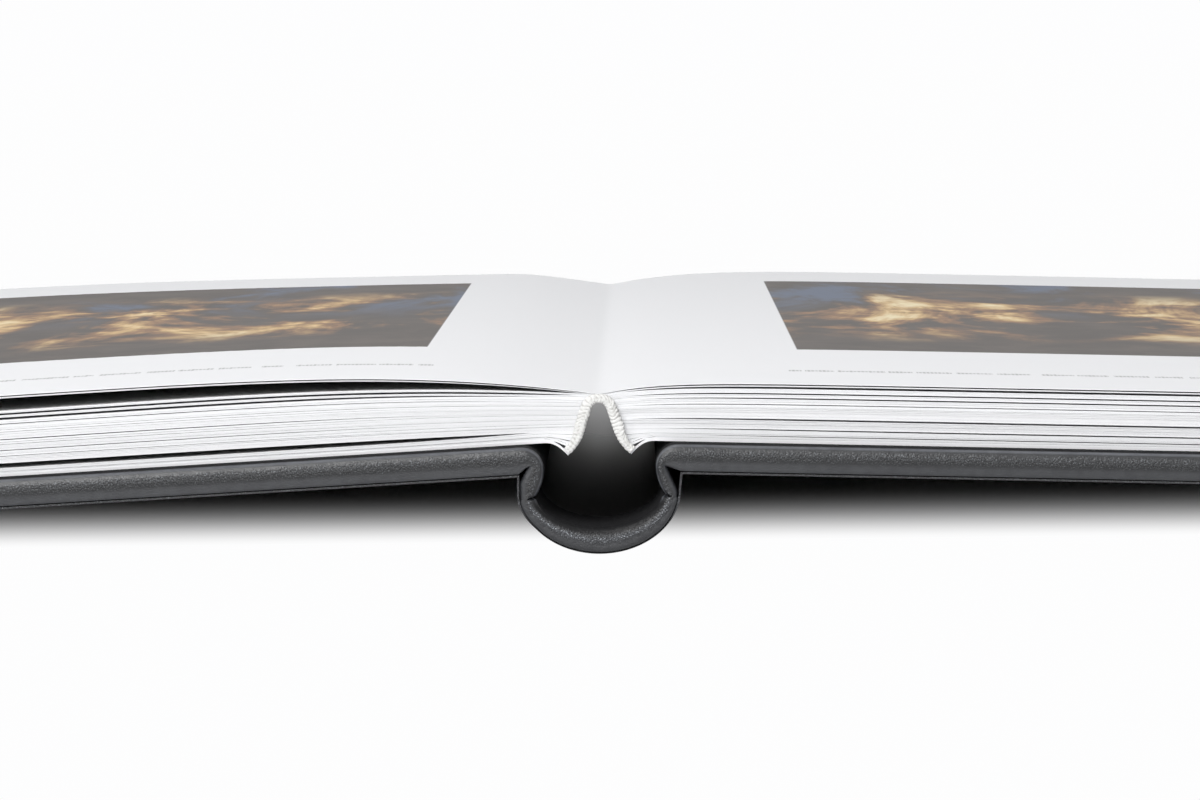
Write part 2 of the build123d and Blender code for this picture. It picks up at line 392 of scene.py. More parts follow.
def leaf_group(rng, low, high, above, loose):
    """The leaves between two gaps: the share of each, and their lower and upper lines."""
    middle = counted_at * leaf_reach

    def bottom(x):
        return laid_z(x, low, loose)

    def top(x):
        if not above:
            room = spread_thickness + spread_air[loose] * (1 - exp(-x / spread_run))
        else:
            room = opening_at(x, above) * (1 if above[2] > wide_gap else line_spread[loose])
        return laid_z(x, high, loose) - room

    air = loose_air if loose else tight_air
    count = max(2, round((top(middle) - bottom(middle)) * (1 - air) / leaf_thickness))
    wave_ends = (short_waves, wave_turns, long_waves)
    waves = [
        (rng.random() ** air_power, *(rng.uniform(*ends) for ends in wave_ends))
        for _ in range(count - 1)
    ]

    def air_shares(x):
        parts = []
        for size, run, turn, slow in waves:
            sway = 1 - long_sway + long_sway * sin(x / slow)
            parts.append(size * (least_air + (0.5 + 0.5 * sin(x / run + turn)) * sway))
        total = sum(parts)
        return [part / total for part in parts]

    def lines(index, x):
        height = top(x) - bottom(x)
        shares = air_shares(x)
        under = bottom(x) + height * (air * sum(shares[:index]) + (1 - air) * index / count)
        return under, under + height * (1 - air) / count

    return [low + (high - low) * (i + 0.5) / count for i in range(count)], lines


def sheet_faces(base, stations, side):
    """Faces round a sheet of four lines of points: front, top, back, bottom, then its ends."""
    faces = []
    for station in range(stations):
        a = base + 4 * station
        faces += [(a + c, a + (c + 1) % 4, a + (c + 1) % 4 + 4, a + c + 4) for c in range(4)]
    last = base + 4 * stations
    faces += [(base + 3, base + 2, base + 1, base), (last, last + 1, last + 2, last + 3)]
    return faces if side < 0 else [face[::-1] for face in faces]


def leaves(name, side, gaps, loose, seed, materials):
    """One half of the leaves, each a thin sheet from the back out to the fore-edge."""
    rng = random.Random(seed)
    edges = [(0.0, None)] + [(gap[0], gap) for gap in gaps] + [(1.0, None)]
    points, faces, tones, light_painted = [], [], [], []
    for (low, _), (high, above) in zip(edges, edges[1:]):
        group, lines = leaf_group(rng, low, high, above, loose)
        for index, share in enumerate(group):
            start = back_x(share, loose)
            end = tip_x - fore_edge_slant * share - trim_spread * rng.random()
            half = leaf_half_length - trim_spread * rng.random()
            tone = rng.random()
            base = len(points)
            for station in range(leaf_stations + 1):
                x = start + (end - start) * (station / leaf_stations) ** leaf_crowding
                under, over = lines(index, x)
                far_under, far_over = head_z(x, under, loose), head_z(x, over, loose)
                for y, z in ((-half, under), (-half, over), (half, far_over), (half, far_under)):
                    points.append((side * x, y, z))
                tones += [tone] * 4
            faces += sheet_faces(base, leaf_stations, side)
            # Faces inside the block take the darker paper as painted shade; the top face of a
            # group's last leaf over a shown gap stays plain
            shade_free = above is not None and above[2] > shown_gap and index == len(group) - 1
            for station in range(leaf_stations):
                light_painted += [False, not shade_free, False, True]
            light_painted += [False, False]
    piece = put_mesh(name, points, faces, "block", materials)
    tone = piece.data.attributes.new("tone", "FLOAT", "POINT")
    tone.data.foreach_set("value", tones)
    for polygon, inner in zip(piece.data.polygons, light_painted):
        polygon.material_index = 1 if inner else 0
    piece.data.set_sharp_from_angle(angle=radians(40))
    return piece


def open_spread(material):
    """The sheet that lies open: one leaf across the gutter, with a picture on each page."""
    stations = []
    for side, loose in ((-1, True), (1, False)):
        end = tip_x - fore_edge_slant
        for step in range(1, spread_stations + 1):
            x = end * (step / spread_stations) ** spread_crowding
            z = leaf_z(x, 1, loose)
            stations.append((side * x, z, head_z(x, z, loose)))
    stations.append((0.0, gutter_z, head_z(0.0, gutter_z, False)))
    stations.sort()
    half = leaf_half_length
    points = []
    for x, z, far in stations:
        points += [(x, -half, z - spread_sheet), (x, -half, z)]
        points += [(x, half, far), (x, half, far - spread_sheet)]
    faces = sheet_faces(0, len(stations) - 1, 1)
    piece = put_mesh("open_spread", points, faces, "block", [material])
    piece.data.set_sharp_from_angle(angle=radians(40))
    return piece


def cover_point(along, height):
    """A point of the right cover's section, measured from its hinge corner, as (x, z)."""
    x = hinge_x + along * cos(droop) + height * sin(droop)
    return (x, hinge_z - along * sin(droop) + height * cos(droop))


def tangent_arc(start, heading, end, steps):
    """Points of an arc that leaves start along a heading and ends at end, and its last heading."""
    across = (end[0] - start[0], end[1] - start[1])
    left = (-heading[1], heading[0])
    radius = (across[0] ** 2 + across[1] ** 2) / (2 * (across[0] * left[0] + across[1] * left[1]))
    centre = (start[0] + radius * left[0], start[1] + radius * left[1])
    first = atan2(start[1] - centre[1], start[0] - centre[0])
    turn = atan2(end[1] - centre[1], end[0] - centre[0]) - first
    turn = (turn + pi) % (2 * pi) - pi
    points = []
    for step in range(steps + 1):
        angle = first + turn * step / steps
        reach = abs(radius)
        points.append((centre[0] + reach * cos(angle), centre[1] + reach * sin(angle)))
    ahead, left_on = heading
    heading = (cos(turn) * ahead - sin(turn) * left_on, sin(turn) * ahead + cos(turn) * left_on)
    return points, heading


def between(start, end, part):
    """A point part of the way from one point to another."""
    return tuple(a + (b - a) * part for a, b in zip(start, end))


def round_drop(distance, radius):
    """How far a rounded edge stands back at a distance from it."""
    if distance >= radius:
        return 0.0
    return radius - sqrt(max(0.0, radius**2 - (radius - distance) ** 2))


def end_profile(low, high, low_round, high_round):
    """The padded end between two faces: points with their share from the high face and drop."""
    span = hypot(high[0] - low[0], high[1] - low[1])
    places = []
    for step in range(low_steps + 1):
        turn = pi / 2 * step / low_steps
        places.append((low_round * (1 - cos(turn)), low_round * (1 - sin(turn))))
    flat_start, flat_end = low_round, span - high_round
    for step in range(1, flat_steps):
        places.append((flat_start + (flat_end - flat_start) * step / flat_steps, 0.0))
    for step in range(high_steps + 1):
        turn = pi / 2 * (1 - step / high_steps)
        places.append((span - high_round * (1 - cos(turn)), high_round * (1 - sin(turn))))
    return [(between(low, high, at / span), 1 - at / span, drop) for at, drop in places]


def loft(rings):
    """Faces that join equal rings of points, with both ends closed."""
    size = len(rings[0])
    points = [point for ring in rings for point in ring]
    faces = []
    for index in range(len(rings) - 1):
        for corner in range(size):
            a, b = index * size + corner, index * size + (corner + 1) % size
            faces.append((a, b, b + size, a + size))
    faces.append(tuple(range(size))[::-1])
    faces.append(tuple(range((len(rings) - 1) * size, len(rings) * size)))
    return points, faces


def covering_mesh(name, rings, shares, side):
    """A piece of the covering, with each point's rest place and share of its end's height."""
    points, faces = loft(rings)
    points = [(side * x, y, z) for x, y, z in points]
    piece = put_mesh(name, points, faces, None, [grey_leather])
    mesh = piece.data
    rest = mesh.attributes.new("rest", "FLOAT_VECTOR", "POINT")
    rest.data.foreach_set("vector", [value for point in points for value in point])
    share = mesh.attributes.new("share", "FLOAT", "POINT")
    share.data.foreach_set("value", [value for ring in shares for value in ring])
    outward = bmesh.new()
    outward.from_mesh(mesh)
    bmesh.ops.recalc_face_normals(outward, faces=outward.faces)
    outward.to_mesh(mesh)
    outward.free()
    mesh.set_sharp_from_angle(angle=radians(50))
    return piece


def folded_in(share):
    """How much of the fold between a roll and the trough is left at a share of the end's height."""
    return min(1.0, max(0.0, (fold_end - share) / fold_fade))


def pad_ring(low, high, half, low_round, high_round, fold=0.0):
    """A ring round a cover's pad or a roll: its tail end, its top, its head end."""
    profile = end_profile(low, high, low_round, high_round)
    profile = [(place, share, drop + fold * folded_in(share)) for place, share, drop in profile]
    tail = [((x, -half + drop, z), share) for (x, z), share, drop in profile]
    head = [((x, half - drop, z), share) for (x, z), share, drop in profile[::-1]]
    ring = tail + head
    return [point for point, share in ring], [share for point, share in ring]


def cover_pad(name, side):
    """The covered board and the rolled joint beside it, one skin that bends at the hinge."""
    half = cover_length / 2
    rings, shares = [], []

    def station(low, high, half_here, low_round, high_round, fold=0.0):
        ring, share = pad_ring(low, high, half_here, low_round, high_round, fold)
        rings.append(ring)
        shares.append(share)

    for back in pad_stations:
        along = cover_reach - back
        top = cover_thickness - round_drop(back, cover_edge_round)
        half_here = half - round_drop(back, cover_corner_round)
        top_round = min(cover_edge_round, top - pad_floor - pad_edge_round - 0.1)
        low, high = cover_point(along, pad_floor), cover_point(along, top)
        station(low, high, half_here, pad_edge_round, top_round)

    top_bend = cover_point(-roll_flat, cover_thickness)
    waist = (spine_half_width - roll_inset, spine_trough_depth + roll_waist_rise)
    apex = (waist[0] + roll_thickness, spine_trough_depth + groove_apex_rise)
    under = cover_point(groove_start, pad_floor)
    touch, foot_inset = groove_touch, roll_foot_inset
    if side < 0:
        apex = (apex[0] + left_apex_shift[0], apex[1] + left_apex_shift[1])
        touch, foot_inset = left_groove_touch, left_foot_inset
    foot_out = (spine_half_width - foot_inset, pad_rim_out - 0.1)
    shoulder, heading = tangent_arc(top_bend, (-cos(droop), sin(droop)), waist, 16)
    inner, heading = tangent_arc(waist, heading, roll_foot, 14)
    for part in joint_parts:
        low = between(cover_point(joint_start, pad_floor), under, part)
        high = between(cover_point(joint_start, cover_thickness), top_bend, part)
        station(low, high, half, pad_edge_round, cover_edge_round)
    for index, high in enumerate(shoulder[1:], 1):
        part = index / (len(shoulder) - 1)
        low = between(under, apex, min(1.0, part * groove_pace))
        span = hypot(high[0] - low[0], high[1] - low[1])
        rounding = min(1.0, part * round_pace)
        low_round = pad_edge_round + (roll_end_round - pad_edge_round) * rounding
        high_round = cover_edge_round + (roll_end_round - cover_edge_round) * part
        most = most_round * span
        station(low, high, half, min(low_round, most), min(high_round, most))
    for index, high in enumerate(inner[1:], 1):
        part = index / (len(inner) - 1)
        if part < touch_part:
            low = between(apex, touch, part / touch_part)
        else:
            low = between(touch, foot_out, (part - touch_part) / (1 - touch_part))
        span = hypot(high[0] - low[0], high[1] - low[1])
        to_foot = roll_drop_pace * (1 - part) * len(inner) * roll_drop_step
        end = round_drop(to_foot, roll_end_drop)
        high_in = between(high, low, roll_drop_lean * end / span)
        low_round = min(roll_end_round, roll_low_round * span)
        high_round = min(roll_end_round + roll_extra_round, most_round * span)
        station(low, high_in, half, low_round, high_round, end)
    piece = covering_mesh(name, rings, shares, side)
    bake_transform(piece)
    return piece


def trough_place(turn, inset_side, inset_bottom):
    """A point of the spine's curve, inset from its outer face, at a turn from its side."""
    x = (spine_half_width - inset_side) * cos(turn)
    return (x, spine_trough_depth - (spine_trough_depth - inset_bottom) * sin(turn))


def swollen(place, side):
    """A point of the covering beside the spine, pushed out where the left joint bulges."""
    x, z = place
    if side > 0 or not swell_low < z < hinge_z or abs(x) > hinge_x + swell_past:
        return place
    push = left_swell * sin(pi * (z - swell_low) / (hinge_z - swell_low))
    return (x + push if x > 0 else x - push, z)


def spine_pad(name, end):
    """The padded end of the spine's trough, where its leather turns in round the strip."""
    inset = trough_skin + skin_crease
    rings, shares = [], []
    outer_start = asin((spine_trough_depth - pad_rim_out) / (spine_trough_depth - inset))
    inner_start = asin((spine_trough_depth - pad_rim_in) / (spine_trough_depth - wall_middle))
    half = cover_length / 2
    for step in range(pad_steps + 1):
        part = step / pad_steps
        rim = min(part, 1 - part)
        outer_turn = outer_start + (pi - 2 * outer_start) * part
        inner_turn = inner_start + (pi - 2 * inner_start) * part
        low = trough_place(outer_turn, inset, inset)
        high = trough_place(inner_turn, wall_side, wall_middle)
        span = hypot(high[0] - low[0], high[1] - low[1])
        drop = round_drop(rim * trough_drop_pace, trough_end_drop)
        high = between(high, low, trough_end_drop * drop / span)
        outer_round = min(trough_outer_round, trough_outer_part * span)
        inner_round = min(trough_inner_round, trough_inner_part * span)
        ring, ring_shares = [], []
        for place, share, back in end_profile(low, high, outer_round, inner_round):
            x, z = swollen(place, -1 if place[0] < 0 else 1)
            ring.append((x, end * (half - under_roll - drop * folded_in(share) - back), z))
            ring_shares.append(share)
        deep = end * (half - turn_in)
        rings.append(ring + [(high[0], deep, high[1]), (low[0], deep, low[1])])
        shares.append(ring_shares + [0.0, 1.0])
    piece = covering_mesh(name, rings, shares, 1)
    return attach(piece, "block")


def outer_skin(name, side):
    """The thin skin under a cover, up to its hinge, and round the trough to its middle."""
    rings, shares = [], []
    half = cover_length / 2

    def station(outer, inner, half_here, cut=skin_share):
        (x0, z0), (x1, z1) = swollen(outer, side), swollen(inner, side)
        rim = half_here - skin_edge
        rings.append(
            [(x0, -rim, z0), (x0, -half_here, z0), (x1, -half_here, z1), (x1, -rim, z1)]
            + [(x1, rim, z1), (x1, half_here, z1), (x0, half_here, z0), (x0, rim, z0)]
        )
        shares.append([skin_share, cut, cut, skin_share] * 2)

    for back in skin_stations:
        along = cover_reach - back
        half_here = half - round_drop(back, cover_corner_round)
        station(cover_point(along, 0), cover_point(along, skin_thickness), half_here)
    corner = (hinge_x - skin_thickness, hinge_z + skin_thickness)
    outer_along, inner_along = skin_joint
    station(cover_point(outer_along, 0), cover_point(inner_along, skin_thickness), half)
    station((hinge_x, hinge_z), corner, half)
    for part in skin_corner_parts:
        outer = between((hinge_x, hinge_z), (spine_half_width, spine_trough_depth), part)
        inner = between(corner, (spine_half_width - skin_thickness, spine_trough_depth), part)
        station(outer, inner, half)
    for step in range(trough_steps + 1):
        part = min(1.0, max(0.0, (step - skin_thins_from) / skin_thins_over))
        turn = pi / 2 * step / trough_steps
        inset = skin_thickness + (trough_skin - skin_thickness) * part
        outer, inner = trough_place(turn, 0, 0), trough_place(turn, inset, inset)
        # The skin's end darkens towards the trough as painted shade
        end_shade = skin_share + (edge_shade_share - skin_share) * part
        station(outer, inner, half - skin_back * part, end_shade)
    piece = covering_mesh(name, rings, shares, side)
    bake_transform(piece)
    return piece


def band_path():
    """The middle line of a band: up one flank of the back, over its apex and down the other."""
    right = back_line(band_thickness / 2, 40)
    path = [(-x, z) for x, z in right[:0:-1]] + right
    places = [0.0]
    for (x0, z0), (x1, z1) in zip(path, path[1:]):
        places.append(places[-1] + hypot(x1 - x0, z1 - z0))
    return path, places


def band(name, end, material):
    """A woven band: threads wound over a core in a herringbone, with a beaded edge."""
    path, places = band_path()
    steps = round(places[-1] / stitch_pitch * steps_per_stitch)
    around = points_around
    rng = random.Random(11 + end)
    lumps = [rng.uniform(0.0, 1.0) for _ in range(steps)]
    points, faces, pits = [], [], []
    index = 0
    for step in range(steps + 1):
        place = places[-1] * step / steps
        while index < len(path) - 2 and places[index + 1] < place:
            index += 1
        part = (place - places[index]) / (places[index + 1] - places[index])
        (x0, z0), (x1, z1) = path[index], path[index + 1]
        x, z = x0 + (x1 - x0) * part, z0 + (z1 - z0) * part
        long = hypot(x1 - x0, z1 - z0)
        normal = (-(z1 - z0) / long, (x1 - x0) / long)
        flank = sin(pi * min(1.0, abs(2 * step / steps - 1) * flank_reach))
        spread = band_least + band_swell * flank**flank_power
        for turn in range(around):
            angle = 2 * pi * turn / around
            across, out = cos(angle), sin(angle)
            across = abs(across) ** bead_square * (1 if across > 0 else -1)
            out = abs(out) ** bead_square * (1 if out > 0 else -1)
            waver = thread_waver * sin(place * 0.9 + 3 * across)
            phase = place / stitch_pitch + thread_slant * abs(across - seam_place) + waver
            thread = abs(sin(pi * phase)) ** thread_round
            off_seam = across - seam_place - seam_waver * sin(place * 0.7)
            seam = exp(-((off_seam / seam_width) ** 2))
            slack = lumps[int(phase + 2) % steps] * (slack_inner if across > 0 else slack_outer)
            sunk = min(deepest_pit, 1 - thread + seam_depth * seam + slack)
            lift = -stitch_height * sunk if out > lining_side else 0.0
            grown = (band_thickness / 2 + lift) * spread
            shift = band_thickness / 2 * (spread - 1)
            side = grown * across + shift
            y = end * (leaf_half_length + band_overhang / 2 + (band_overhang / 2 + lift) * out)
            points.append((x + normal[0] * side, y, z + normal[1] * side))
            # How deep each hollow between the stitches is, which the thread's colour darkens as
            # painted shade
            pits.append(sunk if out > lining_side else 0.5)
    for step in range(steps):
        for turn in range(around):
            a = step * around + turn
            b = step * around + (turn + 1) % around
            face = (a, b, b + around, a + around)
            faces.append(face if end < 0 else face[::-1])
    first = tuple(range(around))
    last = tuple(range(steps * around, (steps + 1) * around))
    faces += [first[::-1], last] if end < 0 else [first, last[::-1]]
    piece = put_mesh(name, points, faces, "block", [material])
    pit = piece.data.attributes.new("pit", "FLOAT", "POINT")
    pit.data.foreach_set("value", pits)
    return piece


# Materials


class Value:
    """A node's output, usable in sums."""

    def __init__(self, finish, socket):
        self.finish, self.socket = finish, socket

    def math(self, operation, *others):
        return self.finish.math(operation, self, *others)

    def __add__(self, other):
        return self.math("ADD", other)

    def __sub__(self, other):
        return self.math("SUBTRACT", other)

    def __rsub__(self, other):
        return self.finish.math("SUBTRACT", other, self)

    def __mul__(self, other):
        return self.math("MULTIPLY", other)

    def __truediv__(self, other):
        return self.math("DIVIDE", other)

    def __pow__(self, other):
        return self.math("POWER", other)

    def __lt__(self, other):
        return self.math("LESS_THAN", other)

    def __abs__(self):
        return self.math("ABSOLUTE")

    __radd__, __rmul__ = __add__, __mul__

    def ramp(self, low, high, to_low=0.0, to_high=1.0):
        """A smooth climb or fall from one value to another between two places."""
        if low > high:
            low, high, to_low, to_high = high, low, to_high, to_low
        ends = {"Value": self, "From Min": low, "From Max": high}
        ends.update({"To Min": to_low, "To Max": to_high})
        smooth = {"interpolation_type": "SMOOTHSTEP"}
        return self.finish.add("ShaderNodeMapRange", smooth, ends, "Result")

    def within(self, low, high, soft):
        """One between two places, nought outside them."""
        return self.ramp(low - soft, low + soft) * self.ramp(high - soft, high + soft, 1.0, 0.0)


class Finish:
    """One material, or the world, made node by node."""

    def __init__(self, name, owner=None):
        self.owner = owner or bpy.data.materials.new(name)
        self.owner.use_nodes = True
        self.tree = self.owner.node_tree
        self.tree.nodes.clear()

    def add(self, kind, settings=None, sockets=None, output=0):
        """A node of any type: its settings first, then the values or links of its sockets."""
        node = self.tree.nodes.new(kind)
        for name, setting in (settings or {}).items():
            if name == "stops":
                elements = node.color_ramp.elements
                while len(elements) < len(setting):
                    elements.new(0.5)
                for element, (position, color) in zip(elements, setting):
                    element.position, element.color = position, (*color, 1)
            else:
                setattr(node, name, setting)
        for name, value in (sockets or {}).items():
            socket = node.inputs[name]
            if isinstance(value, Value):
                self.tree.links.new(value.socket, socket)
            elif socket.type == "RGBA":
                socket.default_value = (*value, 1)
            else:
                socket.default_value = value
        return Value(self, node.outputs[output])

    def math(self, operation, *operands):
        return self.add("ShaderNodeMath", {"operation": operation}, dict(enumerate(operands)))

    def place(self):
        """Where a point is on the piece, in millimetres, as a vector."""
        at = self.add("ShaderNodeTexCoord", output="Object")
        return self.scaled(at, (1000, 1000, 1000))

    def scaled(self, vector, by):
        return self.add("ShaderNodeVectorMath", {"operation": "MULTIPLY"}, {0: vector, 1: by})

    def axes(self, vector):
        """The three parts of a vector."""
        first = self.add("ShaderNodeSeparateXYZ", sockets={0: vector})
        outputs = first.socket.node.outputs
        return [Value(self, output) for output in outputs]

    def noise(self, vector, size, detail=2.0, roughness=0.5, distortion=0.0):
        """Soft noise whose features are about one size across."""
        sockets = {"Vector": vector, "Scale": 1 / size, "Detail": detail}
        sockets.update({"Roughness": roughness, "Distortion": distortion})
        return self.add("ShaderNodeTexNoise", {}, sockets, "Fac")

    def cells(self, vector, size):
        """The distance from the middle of a cell; the cells are of about one size."""
        sockets = {"Vector": vector, "Scale": 1 / size}
        return self.add("ShaderNodeTexVoronoi", {}, sockets, "Distance")

    def mix(self, factor, first, second):
        """A colour between two."""
        return self.add("ShaderNodeMix", {"data_type": "RGBA"}, {0: factor, 6: first, 7: second}, 2)

    def bump(self, height, depth):
        """A normal from a height from nought to one; the depth is in millimetres."""
        return self.add("ShaderNodeBump", {}, {"Height": height, "Distance": depth / 1000})

    def shader(self, **sockets):
        """A surface shader with its sockets set."""
        values = {name.replace("_", " "): value for name, value in sockets.items()}
        return self.add("ShaderNodeBsdfPrincipled", {}, values)

    def done(self, shader, kind="ShaderNodeOutputMaterial"):
        """The finished material or world."""
        output = self.tree.nodes.new(kind)
        self.tree.links.new(shader.socket, output.inputs["Surface"])
        return self.owner

    def surface(self, **sockets):
        """The finished material of one shader."""
        return self.done(self.shader(**sockets))


def grey_ramp(made, factor, stops):
    """A grey colour ramp from places and levels."""
    colors = [(place, (level, level, level)) for place, level in stops]
    return made.add("ShaderNodeValToRGB", {"stops": colors}, {"Fac": factor})


def leather():
    """Dark grey imitation leather: pebble grain, flattened by pressing along the edges of its pads,
    with painted highlights, glints and shade.
    """
    made = Finish("grey imitation leather")
    at = made.add("ShaderNodeAttribute", {"attribute_name": "rest"}, output="Vector")
    share = made.add("ShaderNodeAttribute", {"attribute_name": "share"}, output="Fac")
    ragged = made.noise(at, 1.1, 3.0)
    open_grain = (share + (ragged - 0.5) * 0.22).within(0.24, 0.6, 0.09)
    pebble = made.cells(at, 0.34).ramp(0.08, 0.7)
    fine = made.noise(at, 0.17, 3.0, 0.6)
    speck = made.noise(at, 0.25, 3.0, 0.65)
    broad = made.noise(at, 7.0, 4.0)
    patch = made.noise(at, 1.6, 3.0)
    height = pebble * 0.6 + fine * 0.4
    relief = height * (open_grain * 0.8 + 0.2)
    tone = made.mix(broad.ramp(0.3, 0.7), (0.021, 0.022, 0.0255), (0.028, 0.0295, 0.033))
    worn = made.mix(patch.ramp(0.35, 0.7) * 0.5, tone, (0.038, 0.040, 0.044))
    # Pale flecks over the open grain: painted glints
    glint_fleck = speck.ramp(0.55, 0.61) * open_grain
    # Darker colour in the grain's hollows: painted shade
    pit_shaded = made.mix((1 - pebble) * open_grain * 0.85, worn, (0.010, 0.0113, 0.0142))
    glint_flecked = made.mix(glint_fleck * 0.9, pit_shaded, (0.2, 0.212, 0.23))
    x, y, z = made.axes(at)
    away = abs(x)
    trough = away.ramp(12.9, 13.1, 1.0, 0.0) * z.ramp(7.3, 8.8, 1.0, 0.0)
    # Painted highlight and shade by share of an end's height: on the pads a painted highlight along
    # the top edge and painted shade over the band below it; on the trough painted shade at the
    # inner rim and a painted highlight band across it
    pad_light_stops = [(0.0, 0.2), (0.04, 0.3), (0.07, 0.85), (0.1, 0.75), (0.15, 0.15), (0.42, 0.14)]
    pad_light_stops += [(0.5, 0.08), (0.62, 0.12), (0.75, 0.26), (1.0, 0.26)]
    trough_light_stops = [(0.0, 0.02), (0.25, 0.03), (0.37, 0.2), (0.46, 0.42), (0.58, 0.22)]
    trough_light_stops += [(0.72, 0.23), (1.0, 0.24)]
    pad_light_grey, trough_light_grey = (grey_ramp(made, share, stops) for stops in (pad_light_stops, trough_light_stops))
    painted_light_grey = made.mix(trough, pad_light_grey, trough_light_grey)
    light_painted = made.scaled(made.scaled(glint_flecked, painted_light_grey), (4, 4, 4))
    # Painted shade on the pads' flat tops beside the endpapers, where the leaves' shadow falls
    square_shade = abs(y).ramp(148.9, 149.2, 1.0, 0.0) * share.ramp(0.02, 0.06, 1.0, 0.0) * (away < 308.0)
    # Where the share passes 1.1, the outer skin's end along the trough turns near black: a painted
    # shade line
    color = made.mix(share.ramp(1.1, 1.6), light_painted, (0.006, 0.006, 0.007))
    # Painted shade on the inner rim of the trough's padded ends
    rim = trough * share.ramp(0.2, 0.38, 1.0, 0.0)
    fold = made.noise(made.scaled(at, (1, 0.3, 1)), 0.9, 3.0, 0.55, 0.5)
    bent = away.ramp(15.0, 21.0, 1.0, 0.0)
    normal = made.bump(relief + fold * bent * 1.2, 0.09)
    shiny = made.shader(Base_Color=color, Roughness=patch.ramp(0.3, 0.7, 0.3, 0.42), Normal=normal)
    # A dark, rough shader that carries the painted shade of the pad tops and the trough's rim
    shade_shader = made.shader(
        Base_Color=(0.012, 0.012, 0.013), Roughness=0.9, Specular_IOR_Level=0.1, Normal=normal
    )
    painted_shade = square_shade.math("MAXIMUM", rim * 0.75)
    return made.done(made.add("ShaderNodeMixShader", {}, {0: painted_shade, 1: shiny, 2: shade_shader}))


def paper():
    """Coated white paper, seen on its surfaces and on the trimmed edges of the leaves."""
    made = Finish("white page paper")
    at = made.place()
    fibre = made.noise(made.scaled(at, (1, 1, 6)), 0.5, 3.0)
    tone = made.add("ShaderNodeAttribute", {"attribute_name": "tone"}, output="Fac")
    shade = tone * 0.7 + fibre * 0.3
    color = made.mix(shade, (0.80, 0.805, 0.82), (0.87, 0.875, 0.89))
    return made.surface(
        Base_Color=color, Roughness=0.6, Specular_IOR_Level=0.3, Normal=made.bump(fibre, 0.01)
    )


def gap_shaded_faces():
    """The faces of the closed pages, which reflect less than the edges: painted shade in the tight
    gaps between the leaves.
    """
    made = Finish("page faces in painted shade")
    at = made.place()
    fibre = made.noise(at, 0.5, 3.0)
    shade_mottle = made.noise(made.scaled(at, (1, 1, 0)), 40.0, 3.0)
    color = made.mix(shade_mottle.ramp(0.35, 0.6), (0.16, 0.155, 0.15), (0.08, 0.075, 0.07))
    return made.surface(Base_Color=color, Roughness=0.6, Normal=made.bump(fibre, 0.01))


def printed_page():
    """The two open pages: white, each with a picture field and a short line of small type."""
    made = Finish("printed page")
    at = made.place()
    x, y = made.axes(at)[:2]
    out = abs(x)
    right = x.ramp(-1, 1)
    inner = picture_start + right * picture_shift
    wide = (out - inner).within(0.0, picture_wide, print_soft)
    picture = wide * y.within(picture_low, picture_high, print_soft)
    masses = made.noise(made.scaled(at, (1, 0.4, 1)), 34.0, 5.0, 0.6, 0.7)
    wisps = made.noise(made.scaled(at, (0.8, 0.7, 1)), 13.0, 5.0, 0.62, 0.5)
    field = masses * 0.7 + wisps * 0.3 - 0.012 - right * 0.022
    belt = y.within(-38.0, 66.0, 24.0)
    base = made.mix(wisps.ramp(0.3, 0.7), (0.060, 0.052, 0.047), (0.095, 0.080, 0.070))
    cool = made.mix(y.ramp(-10.0, 60.0) * masses.ramp(0.5, 0.36), base, (0.10, 0.125, 0.18))
    earth = made.mix(field.ramp(0.46, 0.54) * belt, cool, (0.27, 0.155, 0.085))
    gold = made.mix(field.ramp(0.515, 0.585) * belt, earth, (0.66, 0.46, 0.22))
    art = made.mix(field.ramp(0.56, 0.63) * belt, gold, (0.88, 0.77, 0.52))
    fibre = made.noise(at, 0.5, 3.0)
    white = made.mix(fibre, (0.84, 0.845, 0.865), (0.87, 0.875, 0.89))
    stems = x / stem_pitch
    stem = stems.math("FRACT")
    along_line = {"noise_dimensions": "1D"}
    letter = made.add("ShaderNodeTexWhiteNoise", along_line, {"W": stems.math("FLOOR")})
    tall = 0.75 + letter * 0.75
    words = x / word_pitch + made.noise(made.scaled(at, (1, 0, 0)), 7.0, 1.0) * 1.6
    in_word = words.math("FRACT").ramp(0.84, 0.87, 1.0, 0.0)
    height = abs(y + caption_drop - (1 - right) * left_caption_rise)
    type_line = in_word * (0.45 + 0.55 * stem.within(0.1, 0.7, 0.05)) * (height < tall)
    caption = type_line * (out - inner).within(-3.0, caption_wide, 0.1)
    with_type = made.mix(caption * 0.55, white, (0.12, 0.12, 0.12))
    color = made.mix(picture, with_type, art)
    return made.surface(
        Base_Color=color, Roughness=0.5, Specular_IOR_Level=0.12, Normal=made.bump(fibre, 0.01)
    )


def plain(name, light, dark, grain_size, roughness, depth):
    """A plain finish with fine mottling, for paper, card and cloth."""
    made = Finish(name)
    at = made.place()
    fine = made.noise(at, grain_size, 4.0)
    broad = made.noise(at, grain_size * 18, 3.0)
    shade = fine * 0.6 + broad * 0.4
    color = made.mix(shade.ramp(0.25, 0.75), dark, light)
    return made.surface(Base_Color=color, Roughness=roughness, Normal=made.bump(fine, depth))


def cover_card():
    """Dark grey card: worn smooth well inside the hollow of the spine, rougher towards its ends."""
    made = Finish("grey cover card")
    at = made.place()
    fine = made.noise(at, 0.6, 4.0)
    color = made.mix(fine.ramp(0.25, 0.75), (0.006, 0.0058, 0.0055), (0.010, 0.0097, 0.0092))
    along = made.axes(at)[1]
    worn = along.ramp(-130.0, 20.0, 0.5, 0.27)
    return made.surface(Base_Color=color, Roughness=worn, Normal=made.bump(fine, 0.003))


